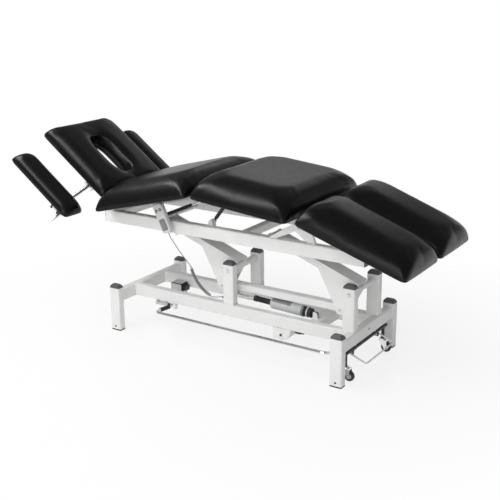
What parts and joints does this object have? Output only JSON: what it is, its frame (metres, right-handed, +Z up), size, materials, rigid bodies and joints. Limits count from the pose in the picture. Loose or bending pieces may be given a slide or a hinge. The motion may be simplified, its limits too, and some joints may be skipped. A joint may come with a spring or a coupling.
{
  "type": "electric examination table",
  "caption": "Powered examination table with padded head, back, middle and split leg sections, armrests, lift arms, foot bar and castors.",
  "frame": {"origin": "middle of the table's footprint box, on the floor", "axes": "+Z up, +X towards the leg end, -Y the side with the handset"},
  "size_m": [2.0717, 0.9226, 0.9829],
  "materials": {
    "black_plastic": "satin",
    "cap_plastic": "satin",
    "chrome": "polished",
    "cord_skin": "satin",
    "light_plastic": "satin",
    "painted_black": "satin",
    "powder_coat": "satin",
    "rubber": "matte",
    "tyre": "matte",
    "upholstery": "semi-gloss"
  },
  "bodies": {
    "base": {"base_frame": "powder_coat", "head_near_cap": "cap_plastic", "head_far_cap": "cap_plastic", "foot_near_cap": "cap_plastic", "foot_far_cap": "cap_plastic", "upright_1_near_cap": "cap_plastic", "upright_1_far_cap": "cap_plastic", "upright_2_near_cap": "cap_plastic", "upright_2_far_cap": "cap_plastic", "head_near_foot": "rubber", "head_far_foot": "rubber", "foot_near_foot": "rubber", "foot_far_foot": "rubber", "shaft_axle_1": "powder_coat", "shaft_axle_2": "powder_coat", "control_box": "cap_plastic", "switch_bracket": "powder_coat", "cord_gland": "black_plastic", "handset_cord": "cord_skin"},
    "arm_1": {"lift_arm_1": "powder_coat"},
    "arm_2": {"lift_arm_2": "powder_coat"},
    "tie": {"tie_bar": "powder_coat"},
    "actuator": {"actuator_shell": "light_plastic", "actuator_tube": "painted_black"},
    "actuator_rod": {"actuator_rod": "chrome"},
    "upper": {"upper_frame": "powder_coat", "handset_case": "light_plastic"},
    "middle": {"middle_frame": "powder_coat", "middle_cushion": "upholstery"},
    "back": {"back_frame": "powder_coat", "back_cushion": "upholstery"},
    "head": {"head_frame": "powder_coat", "head_cushion": "upholstery"},
    "near_arm": {"near_arm_tube": "chrome"},
    "near_rest": {"near_arm_clamp": "painted_black", "near_arm_lock": "chrome", "near_arm_cushion": "upholstery"},
    "near_leg": {"near_leg_frame": "powder_coat", "near_leg_cushion": "upholstery"},
    "far_arm": {"far_arm_tube": "chrome"},
    "far_rest": {"far_arm_clamp": "painted_black", "far_arm_lock": "chrome", "far_arm_cushion": "upholstery"},
    "far_leg": {"far_leg_frame": "powder_coat", "far_leg_cushion": "upholstery"},
    "long_strut": {"long_strut_body": "painted_black"},
    "long_strut_rod": {"long_strut_rod": "chrome"},
    "short_strut": {"short_strut_body": "painted_black"},
    "short_strut_rod": {"short_strut_rod": "chrome"},
    "foot_bar": {"foot_bar": "chrome"},
    "carrier": {"castor_carrier": "painted_black"},
    "bail": {"castor_bail": "powder_coat"},
    "near_fork": {"near_castor_fork": "chrome"},
    "near_wheel": {"near_castor_tyre": "tyre", "near_castor_hub": "light_plastic"},
    "far_fork": {"far_castor_fork": "chrome"},
    "far_wheel": {"far_castor_tyre": "tyre", "far_castor_hub": "light_plastic"},
    "raise_key": {"raise_button": "cap_plastic"},
    "lower_key": {"lower_button": "cap_plastic"}
  },
  "joints": [
    {"name": "lift", "type": "hinge", "parent": "base", "child": "arm_1", "pos_m": [0.0314, 0, 0.382], "axis": [0, 1, 0], "range_deg": [-24, 25], "deforming": ["handset_cord"]},
    {"name": "frame_level", "type": "hinge", "parent": "arm_1", "child": "upper", "pos_m": [-0.3934, 0, 0.57113], "axis": [0, 1, 0], "range_deg": [-25.2, 25.2]},
    {"name": "arm_2_lift", "type": "hinge", "parent": "base", "child": "arm_2", "pos_m": [0.6754, 0, 0.382], "axis": [0, 1, 0], "range_deg": [-25.2, 25.2]},
    {"name": "tie_level", "type": "hinge", "parent": "arm_1", "child": "tie", "pos_m": [-0.0326, -0.0535, 0.284], "axis": [0, 1, 0], "range_deg": [-25.2, 25.2]},
    {"name": "actuator_turn", "type": "hinge", "parent": "base", "child": "actuator", "pos_m": [0.4654, -0.0535, 0.221], "axis": [0, 1, 0], "range_deg": [-3.49, 3.62]},
    {"name": "actuator_stroke", "type": "slide", "parent": "actuator", "child": "actuator_rod", "axis": [-0.9991, 0, 0.0428], "range_m": [-0.04185, 0.04357]},
    {"name": "middle_tilt", "type": "hinge", "parent": "upper", "child": "middle", "pos_m": [0.4514, 0, 0.676], "axis": [0, 1, 0], "range_deg": [0, 5]},
    {"name": "back_tilt", "type": "hinge", "parent": "middle", "child": "back", "pos_m": [-0.0406, 0, 0.778], "axis": [0, 1, 0], "range_deg": [0, 45]},
    {"name": "head_tilt", "type": "hinge", "parent": "back", "child": "head", "pos_m": [-0.6236, 0, 0.655], "axis": [0, 1, 0], "range_deg": [-60, 20]},
    {"name": "near_arm_swing", "type": "hinge", "parent": "head", "child": "near_arm", "pos_m": [-0.75443, -0.212, 0.72196], "axis": [-0.8039, 0, 0.5948], "range_deg": [0, 32]},
    {"name": "near_arm_level", "type": "hinge", "parent": "near_arm", "child": "near_rest", "pos_m": [-0.82312, -0.3898, 0.62914], "axis": [-0.8039, 0, 0.5948], "range_deg": [-32.2, 0.2]},
    {"name": "near_leg_tilt", "type": "hinge", "parent": "upper", "child": "near_leg", "pos_m": [0.5034, 0, 0.738], "axis": [0, -1, 0], "range_deg": [0, 20]},
    {"name": "far_arm_swing", "type": "hinge", "parent": "head", "child": "far_arm", "pos_m": [-0.75443, 0.212, 0.72196], "axis": [0.8039, 0, -0.5948], "range_deg": [0, 32]},
    {"name": "far_arm_level", "type": "hinge", "parent": "far_arm", "child": "far_rest", "pos_m": [-0.82312, 0.3898, 0.62914], "axis": [0.8039, 0, -0.5948], "range_deg": [-32.2, 0.2]},
    {"name": "far_leg_tilt", "type": "hinge", "parent": "upper", "child": "far_leg", "pos_m": [0.5034, 0, 0.738], "axis": [0, -1, 0], "range_deg": [0, 20]},
    {"name": "long_strut_turn", "type": "hinge", "parent": "upper", "child": "long_strut", "pos_m": [-0.3736, -0.163, 0.588], "axis": [0, 1, 0], "range_deg": [-4.93, 0.2]},
    {"name": "long_strut_stroke", "type": "slide", "parent": "long_strut", "child": "long_strut_rod", "axis": [0.9158, 0, 0.4017], "range_m": [-0.0005, 0.02458]},
    {"name": "short_strut_turn", "type": "hinge", "parent": "upper", "child": "short_strut", "pos_m": [-0.0206, -0.165, 0.628], "axis": [0, 1, 0], "range_deg": [-5.66, 0.2]},
    {"name": "short_strut_stroke", "type": "slide", "parent": "short_strut", "child": "short_strut_rod", "axis": [0.6183, 0, 0.786], "range_m": [-0.0005, 0.03136]},
    {"name": "foot_bar_press", "type": "hinge", "parent": "base", "child": "foot_bar", "pos_m": [-0.0086, -0.12, 0.128], "axis": [1, 0, 0], "range_deg": [0, 8], "stiffness_Nm_per_rad": 14, "springref_deg": -17.19},
    {"name": "castor_lift", "type": "slide", "parent": "base", "child": "carrier", "axis": [0, 0, 1], "range_m": [0, 0.0101]},
    {"name": "bail_tilt", "type": "hinge", "parent": "carrier", "child": "bail", "pos_m": [0.6934, 0, 0.108], "axis": [0, -1, 0], "range_deg": [0, 25]},
    {"name": "near_castor_swivel", "type": "hinge", "parent": "carrier", "child": "near_fork", "pos_m": [0.6934, -0.19, 0.0675], "axis": [0, 0, 1], "continuous": true},
    {"name": "near_wheel_spin", "type": "hinge", "parent": "near_fork", "child": "near_wheel", "pos_m": [0.7134, -0.19, 0.0255], "axis": [0, 1, 0], "continuous": true},
    {"name": "far_castor_swivel", "type": "hinge", "parent": "carrier", "child": "far_fork", "pos_m": [0.6934, 0.19, 0.0675], "axis": [0, 0, 1], "continuous": true},
    {"name": "far_wheel_spin", "type": "hinge", "parent": "far_fork", "child": "far_wheel", "pos_m": [0.7134, 0.19, 0.0255], "axis": [0, 1, 0], "continuous": true},
    {"name": "raise_press", "type": "slide", "parent": "upper", "child": "raise_key", "axis": [0, 1, 0], "range_m": [0, 0.0012], "stiffness_N_per_m": 600, "springref_m": -0.002},
    {"name": "lower_press", "type": "slide", "parent": "upper", "child": "lower_key", "axis": [0, 1, 0], "range_m": [0, 0.0012], "stiffness_N_per_m": 600, "springref_m": -0.002}
  ],
  "couplings": [
    {"joint": "frame_level", "follows": "lift", "ratio": -1},
    {"joint": "arm_2_lift", "follows": "lift", "ratio": 1},
    {"joint": "tie_level", "follows": "lift", "ratio": -1},
    {"joint": "actuator_turn", "follows": "lift", "ratio": 0.1328},
    {"joint": "actuator_stroke", "follows": "lift", "m_per_rad": 0.09872},
    {"joint": "near_arm_level", "follows": "near_arm_swing", "ratio": -1},
    {"joint": "far_arm_level", "follows": "far_arm_swing", "ratio": -1},
    {"joint": "long_strut_turn", "follows": "middle_tilt", "ratio": -0.9465},
    {"joint": "long_strut_stroke", "follows": "middle_tilt", "m_per_rad": 0.27592},
    {"joint": "short_strut_turn", "follows": "middle_tilt", "ratio": -1.0916},
    {"joint": "short_strut_stroke", "follows": "middle_tilt", "m_per_rad": 0.35363},
    {"joint": "castor_lift", "follows": "bail_tilt", "m_per_rad": 0.0229}
  ]
}
